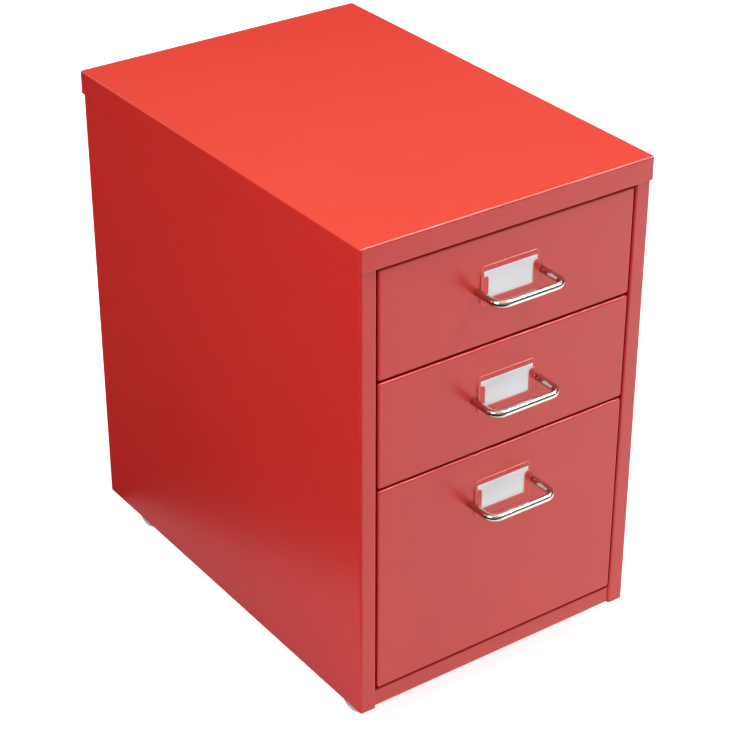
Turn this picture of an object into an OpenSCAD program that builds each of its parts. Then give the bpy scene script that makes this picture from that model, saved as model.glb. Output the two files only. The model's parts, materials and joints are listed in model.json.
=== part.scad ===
// Small drawer cabinet on casters, folded from painted sheet steel.
//
// A tray-shaped cap sits on two side panels, which wrap round to the front as narrow stiles.
// Three drawers, two shallow and one deep, run on channel-section runners. Each has a folded
// front, a folded tray, a bent wire handle and a label holder with its card.
//
// +Z is up, the drawers open towards -Y, and the origin is on the floor, below the middle of
// the whole cabinet with its handles.

/* [Cabinet] */
// Width over the cap
cabinet_w = 280; // [260:1:340]
// Depth over the cap
cabinet_d = 410; // [380:1:460]
// Height of the sheet metal body, with the cap
cabinet_h = 420; // [400:1:520]
// Height of the body's bottom edge above the floor
floor_gap = 27; // [26:0.5:32]
// Thickness of the sheet steel
sheet = 0.8; // [0.6:0.1:1]

/* [Cap] */
// Depth of the lip that hangs down round the cap
cap_lip = 20; // [16:1:24]
// Gap between the cap's lip and the body
cap_fit = 0.7; // [0.4:0.1:1]

/* [Body] */
// Width of the stiles beside the drawers
stile_w = 15; // [14:1:18]
// Depth of the fold behind a stile
stile_return = 10; // [8:1:12]
// Width of the flanges behind, which carry the back panel
rear_flange = 14; // [12:1:18]
// Height of the rail below the bottom drawer
rail_h = 16.5; // [15:0.5:20]
// How far the rails stand back from the stiles
rail_setback = 2; // [1:0.5:3]

/* [Drawers] */
// Height of a shallow drawer front
shallow_front_h = 93; // [85:1:100]
// Gap between one front and the next
front_gap = 2.4; // [2:0.1:3]
// Gap between a front and the stile
side_gap = 1.5; // [1:0.1:2]
// Depth of the fold round a front
front_fold = 14; // [12:1:15]
// Length of a drawer, from the face of its front
drawer_l = 375; // [330:1:375]
// Travel of a drawer
drawer_travel = 300; // [250:5:310]

/* [Handles and labels] */
// Distance between the legs of a handle
handle_span = 64; // [56:1:80]
// Distance from a drawer front to the middle of the handle's bar
handle_reach = 28; // [24:1:32]
// Diameter of the handle's wire
wire_d = 6; // [5:0.5:7]
// Distance from a front's top edge down to its handle
handle_drop = 45; // [40:1:48]
// Width of a label holder
label_w = 56; // [50:1:56]
// Height of a label holder
label_h = 33.5; // [30:0.5:36]

/* [Casters] */
// Diameter of a wheel
wheel_d = 29; // [27:1:30]
// Width of a wheel
wheel_w = 14; // [12:1:15]
// Distance from a swivel axis to its wheel's axle
caster_trail = 11; // [10:1:12]
// Distance of a swivel axis from the front or the back of the body
caster_inset = 48; // [46:1:60]
// Distance of a swivel axis from the side of the body
caster_side_inset = 22; // [21:1:30]

/* [Hidden] */
$fn = 48;

PAINT = [0.78, 0.20, 0.18];
CHROME = [0.80, 0.81, 0.83];
STEEL = [0.62, 0.64, 0.66];
NYLON = [0.88, 0.87, 0.83];
RUBBER = [0.16, 0.16, 0.17];
CARD = [0.93, 0.94, 0.95];
WHEEL_GREY = [0.66, 0.69, 0.71];

// Bends: inside radius and what a bend takes off each flange, measured outside
bend_in = 1.2;
bend_out = bend_in + sheet;
tight_in = 0.7;
tight_out = tight_in + sheet;
corner_r = 2.2;

// Body
cap_over = sheet + cap_fit;
body_w = cabinet_w - 2 * cap_over;
body_d = cabinet_d - 2 * cap_over;
half_w = body_w / 2;
inner_w = body_w - 2 * sheet;
opening_w = body_w - 2 * stile_w;
y_front = -(body_d + cap_over - handle_reach - wire_d / 2) / 2;
y_rear = y_front + body_d;
y_back_panel = y_rear - 2 * sheet;
z_body = floor_gap;
z_top = floor_gap + cabinet_h;
z_cap_under = z_top - sheet;
z_lip = z_top - cap_lip;
top_flange = 12;
top_flange_inset = 20;
back_flange = 11;

// Base panel and rails: the rail's upper flange lies on the base panel
rail_lower_flange = 10;
rail_upper_flange = 20;
z_base = z_body + rail_h - 2 * sheet;
base_fold = 12.5;
base_front_gap = 0.5;

// Gap between the back panel's edges and the bends beside them
back_fit = 0.3;

// Rivets of the back panel
rivet_r = 1.6;
rivet_hole_r = 1.65;
rivet_head_r = 3.2;
rivet_head_h = 1;
rivet_count = 4;
rivet_end_gap = 32;
rivet_x = half_w - rear_flange / 2 - 0.5;

// Drawer fronts, from the top down
front_w = opening_w - 2 * side_gap;
top_gap = 2;
bottom_gap = 2.7;
deep_front_h = cabinet_h - cap_lip - top_gap - rail_h - bottom_gap
  - 2 * (shallow_front_h + front_gap);
front_h = [shallow_front_h, shallow_front_h, deep_front_h];
z_front_top = [for (i = [0 : 2]) z_lip - top_gap - i * (shallow_front_h + front_gap)];
z_front_bottom = [for (i = [0 : 2]) z_front_top[i] - front_h[i]];

// Trays, their rims and runners
tray_w = opening_w - 21;
tray_lift = 5.5;
rim_out = 8;
rim_lip = 4.6;
rim_start = front_fold + 2;
rim_tail = 3;
tray_headroom = 15.5;
hem_h = 7;
z_tray = [for (z = z_front_bottom) z + tray_lift];
z_rim = [for (z = z_front_top) z - tray_headroom];
slide_gap = 0.2;
z_shelf = [for (z = z_rim) z - rim_lip - slide_gap];
channel_h = 7;
runner_bend_in = 0.5;
runner_bend_out = runner_bend_in + sheet;
runner_start = front_fold + 3;
runner_tip = tray_w / 2 + 1.5;
runner_w = inner_w / 2 - runner_tip;
glide_l = 22;
glide_x = [tray_w / 2 + 0.2, tray_w / 2 + rim_out + 1.2];
stop_gap = 0.2;
stop_y = drawer_l - glide_l - drawer_travel - stop_gap;
stop_h = 1.6;
stop_w = 4;
rear_tab_w = 7.5;
bumper_l = 4;
bumper_r = 3;
bumper_stem_r = 1.4;
bumper_gap = 0.3;
bumper_x = tray_w / 2 + 5;
runner_end = drawer_l + bumper_gap + bumper_l + sheet;

// Handles and their 3.5 mm screws
handle_bend_r = 9.5;
handle_bore_r = 1.78;
handle_bore_l = 10;
screw_r = 1.75;
screw_in = 8;
screw_head_r = 3.6;
screw_head_h = 2;
screw_head_round = 0.9;
screw_hole_r = 1.95;

// Label holders
label_drop = 42;
label_r = 4;
label_plate = 0.6;
label_slot = 0.5;
label_lip = 0.6;
label_side = 2.1;
label_border = 6.4;
label_lip_drop = 8.2;
label_floor = 3;
label_lip_r = 3;
card_t = 0.35;
card_top_gap = 4.6;
card_play = 0.2;
card_back_gap = 0.07;

// Casters
stud_r = 3;
stud_hole_r = 3.2;
stud_top = 5.8;
collar_r = 7;
collar_h = 2.5;
pin_r = 2.5;
swivel_fit = 0.06;
crown_r = 6.5;
crown_top = z_base - collar_h - 0.5;
yoke_t = 1.8;
yoke_gap = 0.7;
yoke_plate_bottom = wheel_d + 2.4;
yoke_plate_t = 2;
yoke_boss_r = 4.6;
yoke_front = 5;
yoke_back = 4;
yoke_skirt = 4;
rivet_cap_h = 1;
rivet_cap_r = 3.6;
axle_r = 2;
axle_hole_r = 2.02;
axle_head_r = 3;
axle_head_h = 0.8;
wheel_bore_r = 2.06;
nut_af = 10;
nut_h = 4;
nut_bore_r = 3.05;
shoulder = 2.5;
rim = 3.4;
dish = 2.6;
dish_slope = 0.8;
hub_r = 4.2;
caster_xy = [for (x = [-1, 1], y = [-1, 1])
  [x * (half_w - caster_side_inset), y > 0 ? y_rear - caster_inset : y_front + caster_inset, y]];

// Extrudes a profile drawn in X and Z along +Y
module along_y(length) {
  translate([0, length, 0]) rotate([90, 0, 0]) linear_extrude(length) children();
}

// Extrudes a profile drawn in Y and Z along +X
module along_x(length) {
  rotate([90, 0, 90]) linear_extrude(length) children();
}

// Section of a right-angle bend, with its centre at the origin
module bend_ring(r, t) {
  intersection() {
    difference() {
      circle(r + t);
      circle(r);
    }
    translate([0, -(r + t)]) square(r + t);
  }
}

// Section of a folded strip: straight legs with right-angle bends between them.
// A turn of 1 bends to the left of the way the strip runs, and -1 to the right.
module folded_strip(legs, turns, r, t = sheet, i = 0) {
  if (legs[i] > 0) square([legs[i], t]);
  if (i < len(turns)) translate([legs[i], 0]) {
    if (turns[i] > 0) {
      translate([0, r + t]) bend_ring(r, t);
      translate([r + t, r + t]) rotate(90) folded_strip(legs, turns, r, t, i + 1);
    } else {
      translate([0, -r]) mirror([0, 1]) bend_ring(r, t);
      translate([r, -r]) rotate(-90) folded_strip(legs, turns, r, t, i + 1);
    }
  }
}

// Section through the edge of a pan: its floor, the bend and the wall
module pan_edge(run, depth, bend, t) {
  square([run - bend, t]);
  translate([run - bend, bend]) bend_ring(bend - t, t);
  translate([run - t, bend]) square([t, depth - bend]);
}

// Shallow folded box, centred, with the outside of its floor at z = 0 and its walls up
module pan(w, l, depth, corner, bend, t = sheet) {
  cx = w / 2 - corner;
  cy = l / 2 - corner;
  translate([-cx, -cy, 0]) cube([2 * cx, 2 * cy, t]);
  for (a = [0, 180]) rotate(a) {
    translate([cx, cy, 0]) rotate([90, 0, 0])
      linear_extrude(2 * cy) pan_edge(corner, depth, bend, t);
    translate([-cx, cy, 0]) rotate([90, 0, 90])
      linear_extrude(2 * cx) pan_edge(corner, depth, bend, t);
    translate([cx, cy, 0]) rotate_extrude(angle = 90) pan_edge(corner, depth, bend, t);
    translate([-cx, cy, 0]) rotate(90)
      rotate_extrude(angle = 90) pan_edge(corner, depth, bend, t);
  }
}

// Rectangle with round corners, centred
module rounded_rect(w, h, r) {
  square([w - 2 * r, h], center = true);
  square([w, h - 2 * r], center = true);
  for (x = [-1, 1], y = [-1, 1]) translate([x * (w / 2 - r), y * (h / 2 - r)]) circle(r);
}

// Places its children at the heights of the back panel's rivets, on the left and the right
module rivet_places() {
  step = (cabinet_h - 2 * rivet_end_gap) / (rivet_count - 1);
  for (x = [-rivet_x, rivet_x], i = [0 : rivet_count - 1])
    translate([x, y_rear, z_body + rivet_end_gap + i * step]) children();
}

// Left side panel: one sheet, from the fold behind its stile round to its rear flange
module side_panel_blank() {
  translate([-half_w + stile_w - sheet, y_front + stile_return]) rotate(-90)
    folded_strip([stile_return - bend_out, stile_w - 2 * bend_out, body_d - 2 * bend_out,
      rear_flange - bend_out], [-1, -1, -1], bend_in);
}

module side_panel() {
  flange_l = body_d - 2 * top_flange_inset;
  color(PAINT) {
    difference() {
      translate([0, 0, z_body]) linear_extrude(z_cap_under - z_body) side_panel_blank();
      translate([-half_w - 1, y_front + top_flange_inset, z_cap_under - bend_out])
        cube([sheet + 2, flange_l, bend_out + 1]);
      rivet_places() rotate([90, 0, 0]) cylinder(r = rivet_hole_r, h = 4 * sheet, center = true);
    }
    translate([-half_w + sheet, y_front + top_flange_inset, z_cap_under - bend_out])
      along_y(flange_l) rotate(90) folded_strip([0, top_flange - bend_out], [-1], bend_in);
  }
}

module back_panel() {
  w = inner_w - 2 * (bend_in + back_fit);
  color(PAINT) difference() {
    translate([-w / 2, y_rear - sheet - back_flange, z_body]) along_x(w)
      folded_strip([back_flange - bend_out, z_cap_under - z_body - 2 * bend_out,
        back_flange - bend_out], [1, 1], bend_in);
    rivet_places() translate([0, -1.5 * sheet, 0]) rotate([90, 0, 0])
      cylinder(r = rivet_hole_r, h = 2 * sheet, center = true);
  }
}

// Low-headed rivets through the side panels' rear flanges and the back panel
module back_rivets() {
  color(PAINT) rivet_places() rotate([-90, 0, 0]) {
    translate([0, 0, -2 * sheet]) cylinder(r = rivet_r, h = 2 * sheet);
    rotate_extrude() intersection() {
      translate([0, rivet_head_h - dome_r()]) circle(dome_r());
      square([rivet_head_r, rivet_head_h]);
    }
    translate([0, 0, -2 * sheet - rivet_head_h]) cylinder(r = rivet_head_r - 0.8, h = rivet_head_h);
  }
}

// Radius of a dome as wide and as high as a rivet's head
function dome_r() = (rivet_head_r ^ 2 + rivet_head_h ^ 2) / (2 * rivet_head_h);

// Cap: a shallow lid, turned over
module top_cap() {
  color(PAINT) translate([0, y_front + body_d / 2, z_top]) mirror([0, 0, 1])
    pan(cabinet_w, cabinet_d, cap_lip, corner_r, tight_out);
}

// Folded rail between the stiles: lower flange, face and upper flange
module cross_rail(z, height, lower_flange, upper_flange) {
  translate([-opening_w / 2, y_front + rail_setback + lower_flange, z + sheet])
    along_x(opening_w) rotate(180)
      folded_strip([lower_flange - tight_out, height - 2 * tight_out,
        upper_flange - tight_out], [-1, -1], tight_in);
}

module bottom_rail() {
  color(PAINT) cross_rail(z_body, rail_h, rail_lower_flange, rail_upper_flange);
}

module top_brace() {
  color(PAINT) cross_rail(z_lip, z_cap_under - z_lip, rail_lower_flange, rail_upper_flange);
}

// Base panel: a pan turned over, its walls against the side and back panels
module base_panel() {
  y0 = y_front + stile_return + base_front_gap;
  color(PAINT) difference() {
    translate([0, (y0 + y_back_panel) / 2, z_base + sheet]) mirror([0, 0, 1])
      pan(inner_w, y_back_panel - y0, base_fold, corner_r, bend_out);
    for (c = caster_xy) translate([c[0], c[1], z_base - 1]) cylinder(r = stud_hole_r, h = 4);
  }
}

// Channel that a drawer's rim runs in, on the left, with its front stop and its rear tab
module runner(i) {
  length = runner_end - runner_start;
  color(PAINT) translate([0, y_front, z_shelf[i]]) {
    translate([-runner_tip, runner_start, 0]) along_y(length) rotate(180)
      folded_strip([runner_w - runner_bend_out, channel_h + 2 * sheet - 2 * runner_bend_out,
        runner_w - runner_bend_out], [-1, -1], runner_bend_in);
    translate([-bumper_x - stop_w / 2, stop_y - sheet, channel_h - stop_h])
      cube([stop_w, sheet, stop_h]);
    difference() {
      translate([-bumper_x - stop_w, runner_end - sheet, 0])
        cube([rear_tab_w, sheet, channel_h]);
      bumper_place(-1) cylinder(r = bumper_stem_r, h = 20, center = true);
    }
  }
}

// Puts a bumper's axis along +Y, on the front of a runner's rear tab
module bumper_place(side) {
  translate([side * bumper_x, runner_end - sheet, channel_h / 2]) rotate([-90, 0, 0]) children();
}

module runner_bumpers() {
  color(RUBBER) for (z = z_shelf, side = [-1, 1]) translate([0, y_front, z]) bumper_place(side) {
    translate([0, 0, -bumper_l]) rotate_extrude() polygon(concat([[0, 0], [0, bumper_l],
      [bumper_r, bumper_l]], [for (a = [0 : 15 : 90])
        [bumper_r - 1 + cos(a), 1 - sin(a)]]));
    cylinder(r = bumper_stem_r, h = sheet);
    translate([0, 0, sheet]) cylinder(r = bumper_stem_r + 0.6, h = 1);
  }
}

// Leg positions of a drawer's handle, on the face of its front
module handle_places(i) {
  for (x = [-1, 1]) translate([x * handle_span / 2, y_front, z_front_top[i] - handle_drop])
    children();
}

module drawer_front(i) {
  color(PAINT) difference() {
    translate([0, y_front, (z_front_top[i] + z_front_bottom[i]) / 2]) rotate([-90, 0, 0])
      pan(front_w, front_h[i], front_fold, corner_r, tight_out);
    handle_places(i) rotate([90, 0, 0]) cylinder(r = screw_hole_r, h = 4, center = true);
  }
}

// Rim of the tray's left wall: folded out, and down again to run on the shelf
module tray_rim(z) {
  length = drawer_l - rim_tail - rim_start;
  translate([-tray_w / 2, y_front + rim_start, z - tight_out]) along_y(length)
    translate([sheet, 0]) mirror([1, 0]) translate([sheet, 0]) rotate(90)
      folded_strip([0, rim_out - tight_in - tight_out, rim_lip - tight_out], [-1, -1], tight_in);
}

// Hem along the top of a tray's rear wall: the sheet folded over and laid flat inside it
module tray_hem(z) {
  half = tray_w / 2 - corner_r;
  translate([-half, y_front + drawer_l - sheet, z]) along_x(2 * half) {
    translate([-sheet, -hem_h]) square([sheet, hem_h]);
    intersection() {
      circle(sheet);
      translate([-sheet, 0]) square(2 * sheet);
    }
  }
}

module drawer_tray(i) {
  length = drawer_l - sheet;
  depth = z_rim[i] - tight_out - z_tray[i];
  color(PAINT) {
    difference() {
      translate([0, y_front + sheet + length / 2, z_tray[i]])
        pan(tray_w, length, depth, corner_r, tight_out);
      handle_places(i) rotate([90, 0, 0]) cylinder(r = screw_hole_r, h = 4, center = true);
    }
    tray_rim(z_rim[i]);
    mirror([1, 0, 0]) tray_rim(z_rim[i]);
    tray_hem(z_rim[i] - tight_out);
  }
}

// Nylon slippers on the rear ends of the rim
module drawer_glides(i) {
  x0 = glide_x[0];
  w = glide_x[1] - glide_x[0];
  y0 = y_front + drawer_l - glide_l;
  rim_x = tray_w / 2 + rim_out + 0.05;
  color(NYLON) for (side = [0, 1]) mirror([side, 0, 0]) difference() {
    translate([x0, y0, z_shelf[i] + slide_gap]) cube([w, glide_l, channel_h - 0.5]);
    translate([0, y0 - 1, z_rim[i] - tight_out]) cube([rim_x, glide_l - rim_tail + 1, tight_out]);
    translate([rim_x - tight_out, y0 - 1, z_shelf[i]])
      cube([tight_out, glide_l - rim_tail + 1, rim_lip]);
  }
}

// Bent wire handle, its legs bored for the screws
module drawer_handle(i) {
  leg = handle_reach - handle_bend_r;
  half = handle_span / 2;
  color(CHROME) difference() {
    translate([0, y_front, z_front_top[i] - handle_drop]) {
      for (side = [0, 1]) mirror([side, 0, 0]) {
        translate([half, 0, 0]) rotate([90, 0, 0]) cylinder(d = wire_d, h = leg);
        translate([half - handle_bend_r, -leg, 0]) rotate(-90)
          rotate_extrude(angle = 90) translate([handle_bend_r, 0]) circle(d = wire_d);
      }
      translate([-half + handle_bend_r, -handle_reach, 0]) rotate([0, 90, 0])
        cylinder(d = wire_d, h = handle_span - 2 * handle_bend_r);
    }
    handle_places(i) rotate([90, 0, 0]) cylinder(r = handle_bore_r, h = handle_bore_l);
  }
}

// Pan-headed screws from inside the tray into the handle's legs
module handle_screws(i) {
  color(STEEL) handle_places(i) translate([0, 2 * sheet, 0]) {
    rotate([90, 0, 0]) cylinder(r = screw_r, h = 2 * sheet + screw_in);
    rotate([-90, 0, 0]) rotate_extrude() {
      square([screw_head_r - screw_head_round, screw_head_h]);
      square([screw_head_r, screw_head_h - screw_head_round]);
      translate([screw_head_r - screw_head_round, screw_head_h - screw_head_round])
        circle(screw_head_round);
    }
  }
}

// Outline of the raised lip: a U, open at the top, with round inner corners
module label_lip_outline() {
  top = label_h / 2 - label_lip_drop;
  inner = label_w / 2 - label_border;
  difference() {
    rounded_rect(label_w, label_h, label_r);
    translate([-label_w, top]) square([2 * label_w, label_h]);
    translate([-inner, -label_h / 2 + label_border - 0.5]) square([2 * inner, label_h]);
    for (side = [0, 1]) mirror([side, 0]) difference() {
      translate([inner - 0.01, top - label_lip_r]) square([label_lip_r + 0.01, label_lip_r + 1]);
      translate([inner + label_lip_r, top - label_lip_r]) circle(label_lip_r);
    }
  }
}

// Label holder: a back plate and a raised lip round the card, both with round corners
module label_holder(i) {
  slot_w = label_w - 2 * label_side;
  color(PAINT) translate([0, y_front, z_front_top[i] - label_drop]) rotate([90, 0, 0]) {
    linear_extrude(label_plate) rounded_rect(label_w, label_h, label_r);
    difference() {
      translate([0, 0, label_plate]) linear_extrude(label_slot + label_lip) intersection() {
        rounded_rect(label_w, label_h, label_r);
        translate([-label_w, -label_h]) square([2 * label_w, 1.5 * label_h - label_lip_drop]);
      }
      translate([-slot_w / 2, -label_h / 2 + label_floor, label_plate])
        cube([slot_w, label_h, label_slot]);
      translate([0, 0, label_plate + label_slot]) linear_extrude(label_lip + 1) difference() {
        square([label_w + 2, label_h + 2], center = true);
        label_lip_outline();
      }
    }
  }
}

module label_card(i) {
  w = label_w - 2 * label_side - 2 * card_play;
  h = label_h - label_floor - card_top_gap - card_play;
  z = z_front_top[i] - label_drop - label_h / 2 + label_floor + card_play;
  color(CARD) translate([-w / 2, y_front - label_plate - card_t - card_back_gap, z])
    cube([w, card_t, h]);
}

// Caster: fixed stud with its collar, and the pin that the fork turns on
module caster_stem(i) {
  pin_bottom = yoke_plate_bottom - rivet_cap_h - 0.3;
  color(STEEL) translate([caster_xy[i][0], caster_xy[i][1], 0]) {
    translate([0, 0, pin_bottom]) cylinder(r = pin_r, h = z_base - pin_bottom);
    translate([0, 0, pin_bottom]) cylinder(r = rivet_cap_r, h = rivet_cap_h);
    translate([0, 0, z_base - collar_h]) cylinder(r = collar_r, h = collar_h);
    translate([0, 0, z_base]) cylinder(r = stud_r, h = sheet + stud_top);
  }
}

// Turns a caster so that its wheel trails away from the middle of the cabinet
module caster_place(i) {
  translate([caster_xy[i][0], caster_xy[i][1], 0]) rotate(caster_xy[i][2] > 0 ? 0 : 180) children();
}

// Side of the yoke, in Y and Z: a leg that leans back from the crown to the axle's boss
module yoke_side() {
  z_axle = wheel_d / 2;
  top = yoke_plate_bottom;
  polygon([[-yoke_front, top + yoke_plate_t], [caster_trail + yoke_back, top + yoke_plate_t],
    [caster_trail + yoke_back, top - yoke_skirt], [caster_trail + yoke_boss_r, z_axle],
    [caster_trail - yoke_boss_r, z_axle], [-yoke_front, top - yoke_skirt]]);
  translate([caster_trail, z_axle]) circle(yoke_boss_r);
}

module caster_fork(i) {
  inner = wheel_w / 2 + yoke_gap;
  color(NYLON) caster_place(i) difference() {
    union() {
      for (x = [-inner - yoke_t, inner]) translate([x, 0, 0]) along_x(yoke_t) yoke_side();
      translate([-inner, -yoke_front, yoke_plate_bottom])
        cube([2 * inner, yoke_front + caster_trail + yoke_back, yoke_plate_t]);
      translate([0, 0, yoke_plate_bottom])
        cylinder(r = crown_r, h = crown_top - yoke_plate_bottom);
    }
    cylinder(r = pin_r + swivel_fit, h = 2 * z_base);
    translate([0, caster_trail, wheel_d / 2]) rotate([0, 90, 0])
      cylinder(r = axle_hole_r, h = 3 * wheel_w, center = true);
  }
}

module caster_axle(i) {
  length = wheel_w + 2 * yoke_gap + 2 * yoke_t;
  color(STEEL) caster_place(i) translate([0, caster_trail, wheel_d / 2]) rotate([0, 90, 0]) {
    cylinder(r = axle_r, h = length, center = true);
    for (side = [0, 1]) mirror([0, 0, side]) translate([0, 0, length / 2])
      cylinder(r = axle_head_r, h = axle_head_h);
  }
}

// Wheel with a round-shouldered tread, a dish turned into each face and a hub
module caster_wheel(i) {
  r = wheel_d / 2;
  half = wheel_w / 2;
  color(WHEEL_GREY) caster_place(i) translate([0, caster_trail, r]) rotate([0, 90, 0])
    difference() {
      rotate_extrude() intersection() {
        rounded_rect(wheel_d, wheel_w, shoulder);
        translate([0, -half]) square([r, wheel_w]);
      }
      cylinder(r = wheel_bore_r, h = 2 * wheel_w, center = true);
      for (side = [0, 1]) mirror([0, 0, side]) rotate_extrude()
        polygon([[hub_r, half + 1], [hub_r, half], [hub_r + dish_slope, half - dish],
          [r - rim - dish_slope, half - dish], [r - rim, half], [r - rim, half + 1]]);
    }
}

module caster_nuts() {
  color(STEEL) for (c = caster_xy) translate([c[0], c[1], z_base + sheet]) difference() {
    cylinder(d = nut_af / cos(30), h = nut_h, $fn = 6);
    translate([0, 0, -1]) cylinder(r = nut_bore_r, h = nut_h + 2);
  }
}

side_panel();  // side_panel_left
mirror([1, 0, 0]) side_panel();  // side_panel_right
back_panel();
top_cap();
top_brace();
base_panel();
bottom_rail();
back_rivets();
runner(0);  // top_runner_left
mirror([1, 0, 0]) runner(0);  // top_runner_right
runner(1);  // middle_runner_left
mirror([1, 0, 0]) runner(1);  // middle_runner_right
runner(2);  // bottom_runner_left
mirror([1, 0, 0]) runner(2);  // bottom_runner_right
runner_bumpers();
drawer_front(0);  // top_drawer_front
drawer_tray(0);  // top_drawer_tray
drawer_handle(0);  // top_drawer_handle
handle_screws(0);  // top_drawer_handle_screws
label_holder(0);  // top_drawer_label_holder
label_card(0);  // top_drawer_label_card
drawer_glides(0);  // top_drawer_glides
drawer_front(1);  // middle_drawer_front
drawer_tray(1);  // middle_drawer_tray
drawer_handle(1);  // middle_drawer_handle
handle_screws(1);  // middle_drawer_handle_screws
label_holder(1);  // middle_drawer_label_holder
label_card(1);  // middle_drawer_label_card
drawer_glides(1);  // middle_drawer_glides
drawer_front(2);  // bottom_drawer_front
drawer_tray(2);  // bottom_drawer_tray
drawer_handle(2);  // bottom_drawer_handle
handle_screws(2);  // bottom_drawer_handle_screws
label_holder(2);  // bottom_drawer_label_holder
label_card(2);  // bottom_drawer_label_card
drawer_glides(2);  // bottom_drawer_glides
caster_stem(0);  // caster_front_left_stem
caster_fork(0);  // caster_front_left_fork
caster_axle(0);  // caster_front_left_axle
caster_wheel(0);  // caster_front_left_wheel
caster_stem(1);  // caster_rear_left_stem
caster_fork(1);  // caster_rear_left_fork
caster_axle(1);  // caster_rear_left_axle
caster_wheel(1);  // caster_rear_left_wheel
caster_stem(2);  // caster_front_right_stem
caster_fork(2);  // caster_front_right_fork
caster_axle(2);  // caster_front_right_axle
caster_wheel(2);  // caster_front_right_wheel
caster_stem(3);  // caster_rear_right_stem
caster_fork(3);  // caster_rear_right_fork
caster_axle(3);  // caster_rear_right_axle
caster_wheel(3);  // caster_rear_right_wheel
caster_nuts();
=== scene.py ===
import json
import math

import bmesh
import bpy
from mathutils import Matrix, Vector


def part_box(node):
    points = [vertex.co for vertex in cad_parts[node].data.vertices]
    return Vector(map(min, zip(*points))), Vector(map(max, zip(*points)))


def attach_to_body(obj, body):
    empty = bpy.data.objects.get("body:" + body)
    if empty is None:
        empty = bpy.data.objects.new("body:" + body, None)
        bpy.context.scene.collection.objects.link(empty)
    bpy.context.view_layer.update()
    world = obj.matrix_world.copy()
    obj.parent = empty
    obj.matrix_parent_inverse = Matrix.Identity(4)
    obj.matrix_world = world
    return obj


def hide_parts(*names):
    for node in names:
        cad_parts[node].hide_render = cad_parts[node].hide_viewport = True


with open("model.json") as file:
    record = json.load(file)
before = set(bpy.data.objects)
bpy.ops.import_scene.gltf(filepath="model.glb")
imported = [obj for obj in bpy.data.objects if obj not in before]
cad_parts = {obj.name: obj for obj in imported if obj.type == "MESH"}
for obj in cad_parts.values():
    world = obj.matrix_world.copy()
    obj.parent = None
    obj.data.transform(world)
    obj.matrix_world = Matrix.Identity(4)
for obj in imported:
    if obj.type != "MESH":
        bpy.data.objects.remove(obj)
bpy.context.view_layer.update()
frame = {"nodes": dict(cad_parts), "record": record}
nodes = frame["nodes"]

DRAWERS = ("top_drawer", "middle_drawer", "bottom_drawer")
CASTERS = ("caster_front_left", "caster_rear_left", "caster_front_right", "caster_rear_right")

# ---------------------------------------------------------------- camera

CAMERA_AT = Vector((-0.9325, -1.3200, 1.1482))
CAMERA_AZIMUTH = math.radians(35.3)
CAMERA_DIP = math.radians(30.02)
CAMERA_LENS = 106.6
CAMERA_SENSOR = 36
CAMERA_NEAR = 0.05


def make_camera():
    """A plain camera without shift, which looks down on the front's left corner."""
    data = bpy.data.cameras.new("camera")
    data.lens = CAMERA_LENS
    data.sensor_width = CAMERA_SENSOR
    data.clip_start = CAMERA_NEAR
    camera = bpy.data.objects.new("camera", data)
    forward = Vector((
        math.sin(CAMERA_AZIMUTH) * math.cos(CAMERA_DIP),
        math.cos(CAMERA_AZIMUTH) * math.cos(CAMERA_DIP),
        -math.sin(CAMERA_DIP),
    ))
    camera.location = CAMERA_AT
    camera.rotation_euler = forward.to_track_quat("-Z", "Y").to_euler()
    bpy.context.scene.collection.objects.link(camera)
    bpy.context.scene.camera = camera


# ---------------------------------------------------------------- nodes of a material

UNIT = (0.0, 1.0)
# The parts of noise's range that a material uses: most of it, its middle, and less of that
NOISE_WIDE = (0.2, 0.8)
NOISE_MIDDLE = (0.25, 0.75)
NOISE_NARROW = (0.3, 0.7)
SHADER_SAMPLES = 6
# Cosine between the rounded and the plain normal, where an edge begins and where it is full
EDGE_TURN = (0.97, 0.80)
# Openness of a point, where the painted shade in a gap is darkest and where it ends
GAP_SHADE_OPENNESS = (0.12, 0.32)


def empty_material(name):
    """A node material without nodes: the material, its tree, and a helper that adds nodes."""
    material = bpy.data.materials.new(name)
    material.use_nodes = True
    material.node_tree.nodes.clear()
    return material, material.node_tree, node_adder(material.node_tree)


def node_adder(tree):
    """A helper that adds a node of a kind to a tree, with the settings given."""
    def add(kind, **settings):
        node = tree.nodes.new(kind)
        for key, value in settings.items():
            setattr(node, key, value)
        return node
    return add


def new_material(name):
    """A material with its shader: also returns its tree and a helper that adds nodes."""
    material, tree, add = empty_material(name)
    output = add("ShaderNodeOutputMaterial")
    shader = add("ShaderNodeBsdfPrincipled")
    tree.links.new(shader.outputs["BSDF"], output.inputs["Surface"])
    return material, tree, add, shader


def math_node(tree, add, operation, first, second):
    """Two sockets, put together."""
    node = add("ShaderNodeMath", operation=operation)
    tree.links.new(first, node.inputs[0])
    tree.links.new(second, node.inputs[1])
    return node.outputs[0]


def noise(tree, add, scale, detail, stretch=None):
    """Noise in the object's own coordinates: features per metre, and how fine it goes."""
    place = add("ShaderNodeTexCoord").outputs["Object"]
    if stretch is not None:
        mapping = add("ShaderNodeMapping")
        mapping.inputs["Scale"].default_value = stretch
        tree.links.new(place, mapping.inputs["Vector"])
        place = mapping.outputs["Vector"]
    texture = add("ShaderNodeTexNoise")
    texture.inputs["Scale"].default_value = scale
    texture.inputs["Detail"].default_value = detail
    tree.links.new(place, texture.inputs["Vector"])
    return texture.outputs["Fac"]


def remap(tree, add, value, source, target, clamp=False):
    """A value's range, stretched to another one."""
    node = add("ShaderNodeMapRange", clamp=clamp)
    for key, number in zip(("From Min", "From Max", "To Min", "To Max"), source + target):
        node.inputs[key].default_value = number
    tree.links.new(value, node.inputs["Value"])
    return node.outputs["Result"]


def colour_sockets(sockets):
    """The colours among a mix node's sockets."""
    return [socket for socket in sockets if socket.type == "RGBA"]


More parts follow.
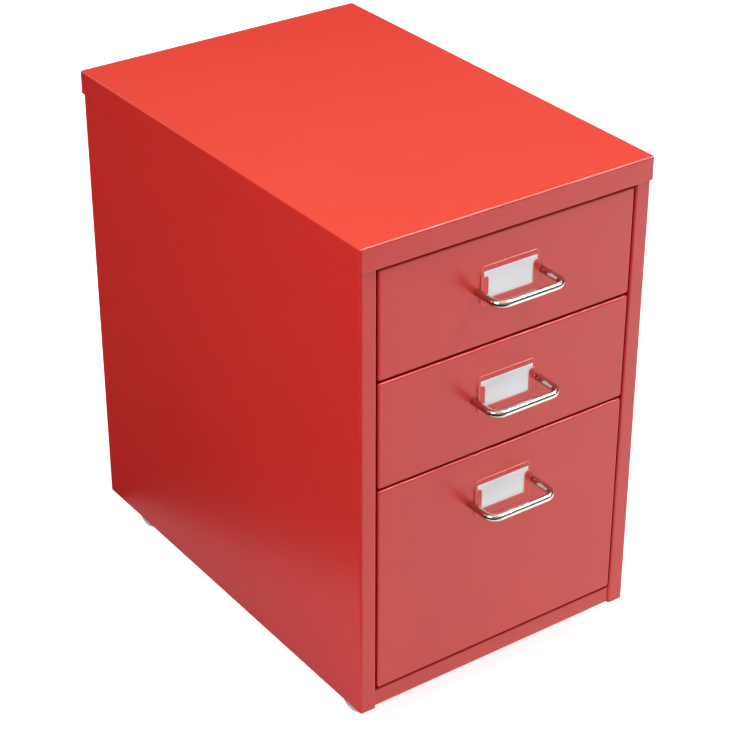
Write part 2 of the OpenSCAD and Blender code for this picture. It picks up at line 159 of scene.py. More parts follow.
def mix_colours(tree, add, factor, first, second):
    """A colour between two others; either one may be a socket."""
    node = add("ShaderNodeMix", data_type="RGBA")
    tree.links.new(factor, node.inputs["Factor"])
    for socket, colour in zip(colour_sockets(node.inputs), (first, second)):
        if isinstance(colour, tuple):
            socket.default_value = (*colour, 1)
        else:
            tree.links.new(colour, socket)
    return colour_sockets(node.outputs)[0]


def bump(tree, add, height, distance, strength, normal=None):
    """A bump of that height in metres, over another bump where one is given."""
    node = add("ShaderNodeBump")
    node.inputs["Distance"].default_value = distance
    node.inputs["Strength"].default_value = strength
    tree.links.new(height, node.inputs["Height"])
    if normal is not None:
        tree.links.new(normal, node.inputs["Normal"])
    return node.outputs["Normal"]


def rounded_edges(tree, add, radius):
    """The normal with edges rounded to the radius, and a mask: 1 on edges, 0 on flats."""
    rounded = add("ShaderNodeBevel", samples=SHADER_SAMPLES)
    rounded.inputs["Radius"].default_value = radius
    plain = add("ShaderNodeNewGeometry")
    facing = add("ShaderNodeVectorMath", operation="DOT_PRODUCT")
    tree.links.new(rounded.outputs["Normal"], facing.inputs[0])
    tree.links.new(plain.outputs["True Normal"], facing.inputs[1])
    mask = remap(tree, add, facing.outputs["Value"], EDGE_TURN, UNIT, clamp=True)
    return rounded.outputs["Normal"], mask


def painted_gap_shade(tree, add, reach):
    """Painted shade in gaps: 0 deep in gaps narrower than the reach, where the paint is
    darkened, 1 in the open.
    """
    shade = add("ShaderNodeAmbientOcclusion", samples=SHADER_SAMPLES)
    shade.inputs["Distance"].default_value = reach
    return remap(tree, add, shade.outputs["AO"], GAP_SHADE_OPENNESS, UNIT, clamp=True)


# ---------------------------------------------------------------- materials
# A noise is given by its features per metre, its detail, and a stretch where it has a grain.
# Heights, radii and reaches are in metres.

PAINT_RED = (0.673, 0.022, 0.0160)
PAINT_DEEP = (0.643, 0.0195, 0.0143)
# Paler paint on edges and rims: partly a thinner coat there, partly a painted highlight along
# the rounded edges
EDGE_THIN_COAT_HIGHLIGHT = (0.790, 0.165, 0.145)
RIM_THIN_COAT_HIGHLIGHT = (0.800, 0.230, 0.205)
# Painted shade: the dark colour that the paint turns to deep in narrow gaps
PAINTED_GAP_SHADE = (0.110, 0.002, 0.002)
PAINT_ROUGHNESS = (0.295, 0.335)
PAINT_IOR = 1.5
DRIFT_NOISE, EDGE_PALENESS_NOISE, GLOSS_NOISE = (6, 1), (60, 2), (24, 2)
EDGE_PALENESS_SHARE = (0.3, 0.7)
PEEL_NOISE, PEEL_HEIGHT = (420, 2), 0.000012
GRAIN_NOISE, GRAIN_HEIGHT = (1900, 1), 0.000003
PAINT_BUMP = 0.4
GAP_SHADE_REACH = 0.004
FOLDED_EDGE = 0.0009
PRESSED_EDGE = 0.0003


def powder_coat(name, deep, full, radius):
    """Semi-gloss red powder coat: orange peel, slow drifts of gloss, paler paint on edges that
    is a thinner coat and a painted highlight, and painted shade deep in narrow gaps.
    """
    material, tree, add, shader = new_material(name)
    drift = remap(tree, add, noise(tree, add, *DRIFT_NOISE), NOISE_WIDE, UNIT)
    colour = mix_colours(tree, add, drift, deep, full)
    rounded, edges = rounded_edges(tree, add, radius)
    # Paler paint on edges in patches, as a thinner coat and as a painted highlight
    paleness = remap(tree, add, noise(tree, add, *EDGE_PALENESS_NOISE), NOISE_WIDE, EDGE_PALENESS_SHARE)
    pale_edges = math_node(tree, add, "MULTIPLY", edges, paleness)
    colour = mix_colours(tree, add, pale_edges, colour, EDGE_THIN_COAT_HIGHLIGHT)
    # Painted shade: the paint goes dark deep in narrow gaps, where little light reaches
    colour = mix_colours(tree, add, painted_gap_shade(tree, add, GAP_SHADE_REACH), PAINTED_GAP_SHADE, colour)
    tree.links.new(colour, shader.inputs["Base Color"])
    gloss = remap(tree, add, noise(tree, add, *GLOSS_NOISE), NOISE_NARROW, PAINT_ROUGHNESS,
                  clamp=True)
    tree.links.new(gloss, shader.inputs["Roughness"])
    peel = bump(tree, add, noise(tree, add, *PEEL_NOISE), PEEL_HEIGHT, PAINT_BUMP, rounded)
    grain = bump(tree, add, noise(tree, add, *GRAIN_NOISE), GRAIN_HEIGHT, PAINT_BUMP, peel)
    tree.links.new(grain, shader.inputs["Normal"])
    shader.inputs["IOR"].default_value = PAINT_IOR
    return material


METAL_BUMP = 0.5
CHROME_DARK, CHROME_PALE = (0.57, 0.55, 0.53), (0.63, 0.60, 0.58)
CHROME_ROUGHNESS = (0.05, 0.09)
CLOUDING_NOISE = (90, 3)
HAZE_NOISE = (260, 4, (0.2, 1, 1))
WIPE_NOISE, WIPE_HEIGHT = (1500, 2, (0.1, 1, 1)), 0.000004


def chrome_plate():
    """Bright chrome with a faint haze and fine wiping marks."""
    material, tree, add, shader = new_material("chrome_plate")
    clouding = noise(tree, add, *CLOUDING_NOISE)
    colour = mix_colours(tree, add, clouding, CHROME_DARK, CHROME_PALE)
    tree.links.new(colour, shader.inputs["Base Color"])
    haze = remap(tree, add, noise(tree, add, *HAZE_NOISE), NOISE_MIDDLE, CHROME_ROUGHNESS)
    tree.links.new(haze, shader.inputs["Roughness"])
    marks = bump(tree, add, noise(tree, add, *WIPE_NOISE), WIPE_HEIGHT, METAL_BUMP)
    tree.links.new(marks, shader.inputs["Normal"])
    shader.inputs["Metallic"].default_value = 1.0
    return material


ZINC_PALE, ZINC_DARK = (0.60, 0.61, 0.63), (0.50, 0.51, 0.54)
ZINC_ROUGHNESS = (0.30, 0.46)
SPANGLE_SCALE, SPANGLE_SPAN = 700, (0.0, 0.7)
DULLING_NOISE = (350, 3)
DRAWN_NOISE, DRAWN_HEIGHT = (1200, 2), 0.00001


def zinc_plate():
    """Zinc-plated steel: dull, with small spangles and drawn marks."""
    material, tree, add, shader = new_material("zinc_plate")
    place = add("ShaderNodeTexCoord").outputs["Object"]
    spangle = add("ShaderNodeTexVoronoi")
    spangle.inputs["Scale"].default_value = SPANGLE_SCALE
    tree.links.new(place, spangle.inputs["Vector"])
    tone = remap(tree, add, spangle.outputs["Distance"], SPANGLE_SPAN, UNIT)
    colour = mix_colours(tree, add, tone, ZINC_PALE, ZINC_DARK)
    tree.links.new(colour, shader.inputs["Base Color"])
    dull = remap(tree, add, noise(tree, add, *DULLING_NOISE), NOISE_NARROW, ZINC_ROUGHNESS)
    tree.links.new(dull, shader.inputs["Roughness"])
    marks = bump(tree, add, noise(tree, add, *DRAWN_NOISE), DRAWN_HEIGHT, METAL_BUMP)
    tree.links.new(marks, shader.inputs["Normal"])
    shader.inputs["Metallic"].default_value = 1.0
    return material


CARD_DULL, CARD_WHITE = (0.885, 0.940, 0.985), (0.925, 0.970, 1.0)
CARD_ROUGHNESS = (0.62, 0.78)
FIBRE_NOISE, FIBRE_HEIGHT, FIBRE_BUMP = (900, 5, (1, 1, 0.35)), 0.00001, 0.4


def card_stock():
    """White label card with paper fibres."""
    material, tree, add, shader = new_material("card_stock")
    fibres = noise(tree, add, *FIBRE_NOISE)
    tone = remap(tree, add, fibres, NOISE_NARROW, UNIT)
    colour = mix_colours(tree, add, tone, CARD_DULL, CARD_WHITE)
    tree.links.new(colour, shader.inputs["Base Color"])
    dull = remap(tree, add, fibres, NOISE_NARROW, CARD_ROUGHNESS)
    tree.links.new(dull, shader.inputs["Roughness"])
    raised = bump(tree, add, fibres, FIBRE_HEIGHT, FIBRE_BUMP)
    tree.links.new(raised, shader.inputs["Normal"])
    return material


CLOUD_NOISE, SHEEN_NOISE = (120, 3), (500, 2)
SPARK_NOISE, SPARK_HEIGHT, SPARK_BUMP = (2600, 2), 0.000012, 0.6
PLASTIC_DEPTH_SHARE = 0.5
# Pale and dark colour, lowest and highest roughness, and how far light goes in
NYLON_LOOK = ((0.82, 0.81, 0.76), (0.76, 0.75, 0.70), (0.38, 0.5), 0.002)
RUBBER_LOOK = ((0.035, 0.035, 0.037), (0.022, 0.022, 0.024), (0.6, 0.8), 0.0)
FORK_LOOK = ((0.34, 0.36, 0.37), (0.28, 0.30, 0.31), (0.42, 0.55), 0.0)
WHEEL_LOOK = ((0.78, 0.82, 0.84), (0.70, 0.74, 0.76), (0.25, 0.38), 0.003)


def moulded_plastic(name, pale, dark, roughness, depth):
    """Moulded plastic with a fine spark-eroded grain."""
    material, tree, add, shader = new_material(name)
    clouds = remap(tree, add, noise(tree, add, *CLOUD_NOISE), NOISE_NARROW, UNIT)
    tree.links.new(mix_colours(tree, add, clouds, dark, pale), shader.inputs["Base Color"])
    sheen = remap(tree, add, noise(tree, add, *SHEEN_NOISE), NOISE_NARROW, roughness)
    tree.links.new(sheen, shader.inputs["Roughness"])
    grain = bump(tree, add, noise(tree, add, *SPARK_NOISE), SPARK_HEIGHT, SPARK_BUMP)
    tree.links.new(grain, shader.inputs["Normal"])
    if depth:
        shader.inputs["Subsurface Weight"].default_value = PLASTIC_DEPTH_SHARE
        shader.inputs["Subsurface Radius"].default_value = (depth, depth, depth)
        shader.inputs["Subsurface Scale"].default_value = 1.0
    return material


RED = powder_coat("red_powder_coat", PAINT_DEEP, PAINT_RED, FOLDED_EDGE)
RED_PRESSED = powder_coat("red_pressed_coat", PAINT_DEEP, PAINT_RED, PRESSED_EDGE)
# Pale paint for the label holder's rounded rims: a thin coat and a painted highlight along them
RED_RIM_HIGHLIGHT = powder_coat("red_rim_thin_coat_and_highlight", EDGE_THIN_COAT_HIGHLIGHT, RIM_THIN_COAT_HIGHLIGHT, PRESSED_EDGE)
CHROME = chrome_plate()
ZINC = zinc_plate()
CARD = card_stock()
WHEEL = moulded_plastic("wheel_plastic", *WHEEL_LOOK)

FINISH = {
    "red_paint": RED, "chrome": CHROME, "zinc_steel": ZINC, "card": CARD,
    "nylon": moulded_plastic("nylon", *NYLON_LOOK),
    "rubber": moulded_plastic("rubber", *RUBBER_LOOK),
    "fork_plastic": moulded_plastic("fork_plastic", *FORK_LOOK),
    "wheel_plastic": WHEEL,
}
NODE_SHARP = math.radians(28)


def finish_nodes():
    """Gives each CAD node its material, with soft shading over bends and hard edges kept."""
    slot_of = {part["node"]: part["material_slot"] for part in frame["record"]["subparts"]}
    for name, node in nodes.items():
        node.data.materials.clear()
        node.data.materials.append(FINISH[slot_of[name]])
        node.data.shade_smooth()
        node.data.set_sharp_from_angle(angle=NODE_SHARP)


# ---------------------------------------------------------------- mesh helpers
# Lengths are in metres from here on.

PIECE_SHARP = math.radians(40)
BEVEL_FROM = math.radians(35)
MARK = "bevel_weight_edge"


def mesh_object(name, build, material):
    """A new object from a function that fills a bmesh."""
    mesh = bpy.data.meshes.new(name)
    form = bmesh.new()
    build(form)
    bmesh.ops.recalc_face_normals(form, faces=form.faces)
    form.to_mesh(mesh)
    form.free()
    mesh.materials.append(material)
    mesh.shade_smooth()
    mesh.set_sharp_from_angle(angle=PIECE_SHARP)
    made = bpy.data.objects.new(name, mesh)
    bpy.context.scene.collection.objects.link(made)
    return made


def soften(piece, width, segments, marked=False, edge=None):
    """Rounds a piece's edges with a bevel modifier: its sharp ones, or only the marked ones.

    The rounded strips get the edge material, where one is given; the label holders' is a paler
    paint that paints a highlight on them.
    """
    bevel = piece.modifiers.new("soft_edges", "BEVEL")
    bevel.width = width
    bevel.segments = segments
    bevel.limit_method = "WEIGHT" if marked else "ANGLE"
    bevel.angle_limit = BEVEL_FROM
    bevel.harden_normals = True
    if edge is not None:
        piece.data.materials.append(edge)
        bevel.material = 1


def attach(piece, body, slot, *replaced):
    """Lets a piece ride on a body and stand for CAD nodes."""
    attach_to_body(piece, body)
    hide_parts(*replaced)


def full_turn(sides):
    """Angles all the way round, in radians."""
    return [2 * math.pi * k / sides for k in range(sides)]


def arc(centre, radius, start, end, steps):
    """Points on an arc, in degrees."""
    turns = [math.radians(start + (end - start) * k / steps) for k in range(steps + 1)]
    return [(centre[0] + radius * math.cos(t), centre[1] + radius * math.sin(t)) for t in turns]


def prism(form, outline, y_front, y_back):
    """A plate between two depths, its outline in X and Z, with its front edges marked."""
    mark = form.edges.layers.float.get(MARK) or form.edges.layers.float.new(MARK)
    front = [form.verts.new((x, y_front, z)) for x, z in outline]
    back = [form.verts.new((x, y_back, z)) for x, z in outline]
    face = form.faces.new(front)
    form.faces.new(back[::-1])
    for k in range(len(outline)):
        nxt = (k + 1) % len(outline)
        form.faces.new((front[k], back[k], back[nxt], front[nxt]))
    for edge in face.edges:
        edge[mark] = 1.0


def skin(form, rings, loop=False):
    """Quads over a row of rings of points, closed into a loop or with a cap on each end."""
    made = [[form.verts.new(point) for point in ring] for ring in rings]
    pairs = list(zip(made, made[1:]))
    if loop:
        pairs.append((made[-1], made[0]))
    else:
        form.faces.new(made[0][::-1])
        form.faces.new(made[-1])
    for low, high in pairs:
        for k in range(len(low)):
            nxt = (k + 1) % len(low)
            form.faces.new((low[k], low[nxt], high[nxt], high[k]))


# ---------------------------------------------------------------- label holders and cards

HOLDER_CORNER = 0.004
HOLDER_PLATE = 0.0006
# The slot's depth, and the width of the metal that closes it at the sides and below
HOLDER_SLOT = 0.0005
HOLDER_SIDE = 0.0021
HOLDER_FLOOR = 0.003
# The lip in front of the slot: its width at the sides and below, and how far down it begins
LIP_BORDER = 0.0064
LIP_SILL = 0.0059
LIP_DROP = 0.0082
LIP_CORNER = 0.003
LIP_ROUNDING = 0.00045
CARD_CORNER = 0.0005
CARD_ROUNDING = 0.00008
CORNER_STEPS = 6
LIP_CORNER_STEPS = 5


def plate_outline(x, z, half_w, half_h, corner):
    """Rectangle with round corners about a centre, in X and Z."""
    points = []
    for side_x, side_z, start in ((1, -1, 270), (1, 1, 0), (-1, 1, 90), (-1, -1, 180)):
        centre = (x + side_x * (half_w - corner), z + side_z * (half_h - corner))
        points += arc(centre, corner, start, start + 90, CORNER_STEPS)
    return points


def lip_outline(x, low, half_w, top, inner, sill, inner_corner):
    """A U that is open at the top, with round outer corners below."""
    points = []
    for side, start in ((-1, 180), (1, 270)):
        centre = (x + side * (half_w - HOLDER_CORNER), low + HOLDER_CORNER)
        points += arc(centre, HOLDER_CORNER, start, start + 90, CORNER_STEPS)
    points.append((x + half_w, top))
    points += lip_shoulder(x + inner, top, inner_corner, 1, 90)
    points += [(x + inner, sill), (x - inner, sill)]
    points += lip_shoulder(x - inner, top, inner_corner, -1, 0)
    points.append((x - half_w, top))
    return points


def lip_shoulder(edge, top, corner, side, start):
    """The U's top inner corner on one side: round, or a point where the corner is 0."""
    if corner == 0:
        return [(edge, top)]
    centre = (edge + side * corner, top - corner)
    return arc(centre, corner, start, start + 90, LIP_CORNER_STEPS)


def label_holder(drawer):
    """Pressed holder: a plate with a raised lip round the slot that the card slides into."""
    node = drawer + "_label_holder"
    low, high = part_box(node)
    middle = (low + high) / 2
    half_w, half_h = (high.x - low.x) / 2, (high.z - low.z) / 2
    plate_y = high.y - HOLDER_PLATE
    slot_y = plate_y - HOLDER_SLOT
    top = high.z - LIP_DROP

    def build(form):
        prism(form, plate_outline(middle.x, middle.z, half_w, half_h, HOLDER_CORNER),
              plate_y, high.y)
        prism(form, lip_outline(middle.x, low.z, half_w, top, half_w - LIP_BORDER,
                                low.z + LIP_SILL, LIP_CORNER), low.y, slot_y)

    def spacer(form):
        prism(form, lip_outline(middle.x, low.z, half_w, top, half_w - HOLDER_SIDE,
                                low.z + HOLDER_FLOOR, 0), slot_y, plate_y)

    piece = mesh_object(node + "_pressed", build, RED_PRESSED)
    # The holder's rounded rims get paler paint: a painted highlight along its outlines
    soften(piece, LIP_ROUNDING, segments=4, marked=True, edge=RED_RIM_HIGHLIGHT)
    attach(piece, drawer, "red_paint", node)
    attach(mesh_object(node + "_slot", spacer, RED), drawer, "red_paint", node)


def label_card(drawer):
    """Label card with its corners just broken."""
    node = drawer + "_label_card"
    low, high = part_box(node)
    middle = (low + high) / 2

    def build(form):
        prism(form, plate_outline(middle.x, middle.z, (high.x - low.x) / 2,
                                  (high.z - low.z) / 2, CARD_CORNER), low.y, high.y)

    piece = mesh_object(node + "_paper", build, CARD)
    soften(piece, CARD_ROUNDING, segments=2, marked=True)
    attach(piece, drawer, "card", node)


# ---------------------------------------------------------------- handles and their screws

HANDLE_BEND = 0.0095
WIRE_SIDES = 32
BEND_STEPS = 14
BAR_STEPS = 16
FOOT_CHAMFER = 0.0004


def handle_line(half, reach):
    """Centre line of a wire handle in X and Y from its foot, leg to leg, with its headings."""
    line = []
    for side in (-1, 1):
        centre = (side * (half - HANDLE_BEND), -reach + HANDLE_BEND)
        start = 180 if side < 0 else 270
        for k, point in enumerate(arc(centre, HANDLE_BEND, start, start + 90, BEND_STEPS)):
            line.append((point, math.radians(start + 90 + 90 * k / BEND_STEPS)))
        if side < 0:
            for k in range(1, BAR_STEPS):
                x = -half + HANDLE_BEND + 2 * (half - HANDLE_BEND) * k / BAR_STEPS
                line.append(((x, -reach), 0.0))
    return line


def drawer_handle(drawer):
    """Bent wire handle, swept as one tube."""
    node = drawer + "_handle"
    low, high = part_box(node)
    wire = (high.z - low.z) / 2
    x_mid, z_mid = (low.x + high.x) / 2, (low.z + high.z) / 2
    half = (high.x - low.x) / 2 - wire
    reach = high.y - low.y - wire
    foot = [((-half, 0.0), -math.pi / 2, wire - FOOT_CHAMFER),
            ((-half, -FOOT_CHAMFER), -math.pi / 2, wire)]
    middle = [(point, heading, wire) for point, heading in handle_line(half, reach)]
    other = [((half, -FOOT_CHAMFER), math.pi / 2, wire),
             ((half, 0.0), math.pi / 2, wire - FOOT_CHAMFER)]

    def ring(point, heading, radius):
        side = (-math.sin(heading), math.cos(heading))
        return [(x_mid + point[0] + side[0] * radius * math.cos(t),
                 high.y + point[1] + side[1] * radius * math.cos(t),
                 z_mid + radius * math.sin(t)) for t in full_turn(WIRE_SIDES)]

    def build(form):
        skin(form, [ring(*step) for step in foot + middle + other])

    attach(mesh_object(node + "_wire", build, CHROME), drawer, "chrome", node)


SCREW_RADIUS = 0.00175
SCREW_TIP = 0.0005
HEAD_RADIUS = 0.0036
HEAD_HEIGHT = 0.002
HEAD_ROUNDING = 0.0009
# Steps up the round of the head's edge, in degrees
HEAD_BOW = (0, 20, 40, 60, 80)
RECESS_REACH = 0.0019
RECESS_DEPTH = 0.0012
RECESS_TAPER = 0.8
# Half the angle that an arm of the cross takes up, in degrees, and what rounding may add to it
RECESS_ARM, ARM_SLACK = 15, 0.001
SCREW_SIDES = 24


def recess_radius(turn, reach):
    """Distance from the middle of a cross recess to its edge, in that direction."""
    off = (math.degrees(turn) + 45) % 90 - 45
    if abs(off) <= RECESS_ARM + ARM_SLACK:
        return reach * math.cos(math.radians(RECESS_ARM)) / math.cos(math.radians(off))
    return reach * math.sin(math.radians(RECESS_ARM)) / math.sin(math.radians(abs(off)))


def screw_rings(x, y_tip, y_seat, z):
    """Rings of a pan-headed screw with a cross recess, from its tip to the recess's floor."""
    turns = full_turn(SCREW_SIDES)
    y_top = y_seat + HEAD_HEIGHT
    sections = [(y_tip, SCREW_RADIUS - SCREW_TIP), (y_tip + SCREW_TIP, SCREW_RADIUS),
                (y_seat, SCREW_RADIUS), (y_seat, HEAD_RADIUS)]
    for degrees in HEAD_BOW:
        bow = math.radians(degrees)
        sections.append((y_top - HEAD_ROUNDING + HEAD_ROUNDING * math.sin(bow),
                         HEAD_RADIUS - HEAD_ROUNDING + HEAD_ROUNDING * math.cos(bow)))
    rings = [[(x + r * math.cos(t), y, z + r * math.sin(t)) for t in turns] for y, r in sections]
    for y, reach in ((y_top, RECESS_REACH), (y_top - RECESS_DEPTH, RECESS_TAPER * RECESS_REACH)):
        rings.append([(x + recess_radius(t, reach) * math.cos(t), y,
                       z + recess_radius(t, reach) * math.sin(t)) for t in turns])
    return rings


def handle_screws(drawer):
    """The two screws that hold a handle from inside its tray."""
    node = drawer + "_handle_screws"
    low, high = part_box(node)
    z = (low.z + high.z) / 2

    def build(form):
        for x in (low.x + HEAD_RADIUS, high.x - HEAD_RADIUS):
            skin(form, screw_rings(x, low.y, high.y - HEAD_HEIGHT, z))

    attach(mesh_object(node + "_cross", build, ZINC), drawer, "zinc_steel", node)


# ---------------------------------------------------------------- wheels

# Radii of the bore and the hub, the rim's width, and the depth of the dish between them
WHEEL_BORE = 0.00206
WHEEL_HUB = 0.0042
WHEEL_RIM = 0.0034
WHEEL_DISH = 0.0026
DISH_SLOPE = 0.0008
WHEEL_SHOULDER = 0.0025
SHOULDER_STEPS = 6
WHEEL_SIDES = 72
WHEEL_ROUNDING = 0.00025
SPOKES = 8
# A spoke's half width, its height over the dish, and how far it goes into it
SPOKE_HALF = 0.0005
SPOKE_HEIGHT = 0.0015
SPOKE_ROOT = 0.0004


def wheel_section(radius, half):
    """Closed section of a wheel: distance along the axle, and from it."""
    face = [(half, WHEEL_BORE), (half, WHEEL_HUB), (half - WHEEL_DISH, WHEEL_HUB + DISH_SLOPE),
            (half - WHEEL_DISH, radius - WHEEL_RIM - DISH_SLOPE), (half, radius - WHEEL_RIM)]
    face += arc((half - WHEEL_SHOULDER, radius - WHEEL_SHOULDER), WHEEL_SHOULDER, 0, 90,
                SHOULDER_STEPS)
    return face + [(-along, away) for along, away in face[::-1]]


def caster_wheel(caster):
    """Moulded wheel: dished faces with spokes between the hub and a round-shouldered tread."""
    node = caster + "_wheel"
    low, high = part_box(node)
    middle = (low + high) / 2
    radius, half = (high.z - low.z) / 2, (high.x - low.x) / 2

    def place(along, away, turn):
        return (middle.x + along, middle.y + away * math.cos(turn),
                middle.z + away * math.sin(turn))

    def spoke(form, side, turn):
        inner, outer = WHEEL_HUB + DISH_SLOPE / 2, radius - WHEEL_RIM - DISH_SLOPE / 2
        floor = half - WHEEL_DISH
        rings = []
        for along in (floor - SPOKE_ROOT, floor + SPOKE_HEIGHT):
            corners = ((inner, -1), (outer, -1), (outer, 1), (inner, 1))
            rings.append([place(side * along, away, turn + way * SPOKE_HALF / away)
                          for away, way in corners])
        skin(form, rings)

    def build(form):
        skin(form, [[place(along, away, turn) for turn in full_turn(WHEEL_SIDES)]
                    for along, away in wheel_section(radius, half)], loop=True)
        for side in (-1, 1):
            for turn in full_turn(SPOKES):
                spoke(form, side, turn)

    piece = mesh_object(node + "_moulded", build, WHEEL)
    soften(piece, WHEEL_ROUNDING, segments=2)
    attach(piece, caster + "_wheel_body", "wheel_plastic", node)


# ---------------------------------------------------------------- stage

SEEN_SKY = 1.0
DIFFUSE_SKY = 0.27
GLOSS_SKY_COLOUR = (1.0, 0.96, 0.60, 1)
WHITE = (1, 1, 1, 1)
FLOOR_COLOUR = (0.80, 0.80, 0.80, 1)
FLOOR_WHITE = 0.88
FLOOR_GLOSS = 0.07


def switched(tree, add, switch, off, on):
    """A number that goes from one value to another as a 0 to 1 socket switches on."""
    return remap(tree, add, switch, UNIT, (off, on), clamp=True)


def make_world():
    """White to the camera and through glass, a warmer sky to gloss, a soft fill for the rest."""
    world = bpy.data.worlds.new("studio")
    world.use_nodes = True
    tree = world.node_tree
    tree.nodes.clear()
    add = node_adder(tree)
    light = add("ShaderNodeBackground")
    path = add("ShaderNodeLightPath")
    tint = add("ShaderNodeMix", data_type="RGBA")
    tree.links.new(path.outputs["Is Glossy Ray"], tint.inputs["Factor"])
    first, second = colour_sockets(tint.inputs)
    first.default_value = WHITE
    second.default_value = GLOSS_SKY_COLOUR
    tree.links.new(colour_sockets(tint.outputs)[0], light.inputs["Color"])
    seen = math_node(tree, add, "MAXIMUM", path.outputs["Is Camera Ray"],
                     path.outputs["Is Glossy Ray"])
    seen = math_node(tree, add, "MAXIMUM", seen, path.outputs["Is Transmission Ray"])
    tree.links.new(switched(tree, add, seen, DIFFUSE_SKY, SEEN_SKY), light.inputs["Strength"])
    output = add("ShaderNodeOutputWorld")
    tree.links.new(light.outputs["Background"], output.inputs["Surface"])
    bpy.context.scene.world = world


def floor_material():
    """White floor that keeps a soft shadow: part of its white is its own."""
    material, tree, add = empty_material("studio_floor")
    surface = add("ShaderNodeBsdfDiffuse")
    surface.inputs["Color"].default_value = FLOOR_COLOUR
    path = add("ShaderNodeLightPath")
    own = math_node(tree, add, "ADD",
                    switched(tree, add, path.outputs["Is Camera Ray"], 0.0, FLOOR_WHITE),
                    switched(tree, add, path.outputs["Is Glossy Ray"], 0.0, FLOOR_GLOSS))
    glow = add("ShaderNodeEmission")
    tree.links.new(own, glow.inputs["Strength"])
    both = add("ShaderNodeAddShader")
    tree.links.new(surface.outputs[0], both.inputs[0])
    tree.links.new(glow.outputs[0], both.inputs[1])
    tree.links.new(both.outputs[0], add("ShaderNodeOutputMaterial").inputs["Surface"])
    return material


def glowing_card(name, span, brightness):
    """A white card for gloss alone, whose brightness goes from one value to another along X."""
    material, tree, add = empty_material(name)
    split = add("ShaderNodeSeparateXYZ")
    tree.links.new(add("ShaderNodeTexCoord").outputs["Object"], split.inputs["Vector"])
    glow = add("ShaderNodeEmission")
    tree.links.new(remap(tree, add, split.outputs["X"], span, brightness, clamp=True),
                   glow.inputs["Strength"])
    tree.links.new(glow.outputs[0], add("ShaderNodeOutputMaterial").inputs["Surface"])
    return material


CLOTH_DARK, CLOTH_PALE = (0.004, 0.004, 0.004), (0.012, 0.012, 0.012)
CLOTH_ROUGHNESS = 0.9
WEAVE_NOISE = (300, 2)


def flag_material(name, glow=0.0):
    """Black cloth that gloss sees as the dark of the studio; with a glow it is grey."""
    material, tree, add, shader = new_material(name)
    weave = noise(tree, add, *WEAVE_NOISE)
    colour = mix_colours(tree, add, weave, CLOTH_DARK, CLOTH_PALE)
    tree.links.new(colour, shader.inputs["Base Color"])
    shader.inputs["Roughness"].default_value = CLOTH_ROUGHNESS
    shader.inputs["Specular IOR Level"].default_value = 0.0
    shader.inputs["Emission Color"].default_value = WHITE
    shader.inputs["Emission Strength"].default_value = glow
    return material


def staged(name, corners, faces, material):
    """A sheet that isn't part of the cabinet."""
    mesh = bpy.data.meshes.new(name)
    mesh.from_pydata(corners, [], faces)
    mesh.materials.append(material)
    made = bpy.data.objects.new(name, mesh)
    bpy.context.scene.collection.objects.link(made)
    return made


def for_gloss(name, corners, faces, material):
    """A sheet beside the cabinet that only gloss sees."""
    made = staged(name, corners, faces, material)
    made.visible_camera = False
    made.visible_diffuse = False
    made.visible_shadow = False
    made.visible_transmission = False


ONE_FACE = [(0, 1, 2, 3)]
FLOOR_HALF = 9.0
# The flag on the floor: its edge runs in from the front, past the left side, round the back
FLAG_EDGE = ((0.90, -2.40), (-0.20, -0.25), (-0.34, -0.17), (-0.165, 0.228), (0.404, 0.40))
FLAG_FAR = ((1.0, 6.0), (-6.0, 6.0), (-6.0, -6.0))
FLAG_FACES = [(7, 0, 1, 2), (7, 2, 3, 6), (3, 4, 5, 6)]
FLAG_LIFT = 0.0008
# The bounce card on the floor, in front on the right: its corners, then its brightness along X
BOUNCE_EDGE = ((-0.20, -0.20), (0.30, -1.10), (1.30, -1.40), (1.30, -0.20))
BOUNCE_LIFT = 0.0012
BOUNCE_SPAN, BOUNCE_LIGHT = (-0.30, 0.75), (1.10, 2.25)
# The long strip overhead, which rounded edges and bars see
STRIP_X, STRIP_Y, STRIP_Z = (0.65, 2.30), (-0.92, -0.66), 1.95
STRIP_LIGHT = (34.0, 120.0)
# The upright flag all round: black behind the cabinet, grey in front of it
RING_RADIUS = 2.6
RING_HIGH, RING_LOW = 2.50, 1.50
RING_LOW_AT = math.radians(45)
RING_SIDES = 48
RING_GLOW = 0.22


def level(outline, height):
    """Corners at a height over the floor."""
    return [(x, y, height) for x, y in outline]


def rectangle(xs, ys):
    """Corners of a rectangle between two X and two Y values."""
    return [(xs[0], ys[0]), (xs[1], ys[0]), (xs[1], ys[1]), (xs[0], ys[1])]


def ring_top(turn):
    """The upright flag's height in that direction: lowest behind the cabinet on the right."""
    return RING_LOW + (RING_HIGH - RING_LOW) * (1 - math.cos(turn - RING_LOW_AT)) / 2


def upright_flag(name, first, last, material):
    """The upright flag between two of the ring's corners."""
    corners = []
    for k in range(first, last + 1):
        turn = 2 * math.pi * k / RING_SIDES
        x, y = RING_RADIUS * math.cos(turn), RING_RADIUS * math.sin(turn)
        corners += [(x, y, 0), (x, y, ring_top(turn))]
    sides = [(2 * k, 2 * k + 2, 2 * k + 3, 2 * k + 1) for k in range(last - first)]
    for_gloss(name, corners, sides, material)


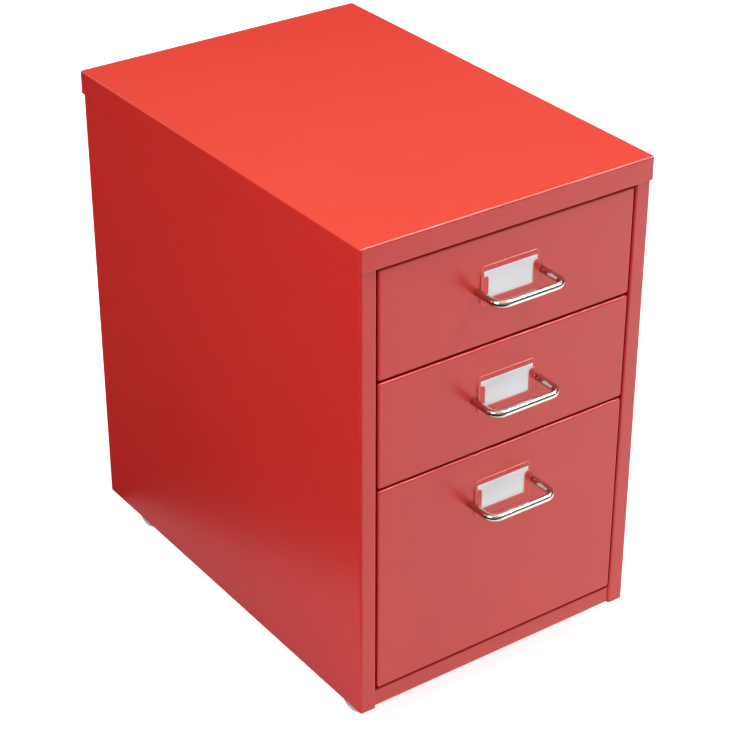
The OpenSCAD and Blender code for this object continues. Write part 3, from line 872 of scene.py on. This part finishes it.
def make_stage():
    """The floor, and the flags and cards that shape the reflections."""
    reach = (-FLOOR_HALF, FLOOR_HALF)
    staged("floor", level(rectangle(reach, reach), 0), ONE_FACE, floor_material())
    black = flag_material("flag_cloth")
    for_gloss("floor_flag", level(FLAG_EDGE + FLAG_FAR, FLAG_LIFT), FLAG_FACES, black)
    for_gloss("bounce_card", level(BOUNCE_EDGE, BOUNCE_LIFT), ONE_FACE,
              glowing_card("bounce_card", BOUNCE_SPAN, BOUNCE_LIGHT))
    for_gloss("overhead_strip", level(rectangle(STRIP_X, STRIP_Y), STRIP_Z), ONE_FACE,
              glowing_card("overhead_strip", STRIP_X, STRIP_LIGHT))
    upright_flag("back_horizon_flag", 0, RING_SIDES // 2, black)
    upright_flag("front_horizon_flag", RING_SIDES // 2, RING_SIDES,
                 flag_material("horizon_cloth", RING_GLOW))


# ---------------------------------------------------------------- lights

# Each softbox: its name, its place, the point it faces, its size, its power and its colour
SOFTBOXES = (
    ("top_softbox", (1.05, -0.50, 2.60), (0, 0, 0.4), (0.9, 0.5), 58.0, (1.0, 0.97, 0.90)),
    ("left_softbox", (-0.95, -0.46, 1.0), (-0.14, -0.04, 0.35), (0.5, 0.5), 7.0,
     (1.0, 0.92, 1.0)),
    ("rear_softbox", (-0.40, 1.95, 0.95), (0, 0.2, 0.25), (1.6, 1.2), 8.0, (1.0, 0.98, 0.95)),
)


def softbox(name, place, target, size, power, colour):
    """A rectangular light that faces a point."""
    data = bpy.data.lights.new(name, "AREA")
    data.shape = "RECTANGLE"
    data.size, data.size_y = size
    data.energy = power
    data.color = colour
    light = bpy.data.objects.new(name, data)
    light.location = place
    light.rotation_euler = (Vector(target) - Vector(place)).to_track_quat("-Z", "Y").to_euler()
    bpy.context.scene.collection.objects.link(light)


# ---------------------------------------------------------------- build

bpy.context.scene.view_settings.view_transform = "Standard"
make_camera()
make_world()
make_stage()
for box in SOFTBOXES:
    softbox(*box)
finish_nodes()
for drawer in DRAWERS:
    label_holder(drawer)
    label_card(drawer)
    drawer_handle(drawer)
    handle_screws(drawer)
for caster in CASTERS:
    caster_wheel(caster)
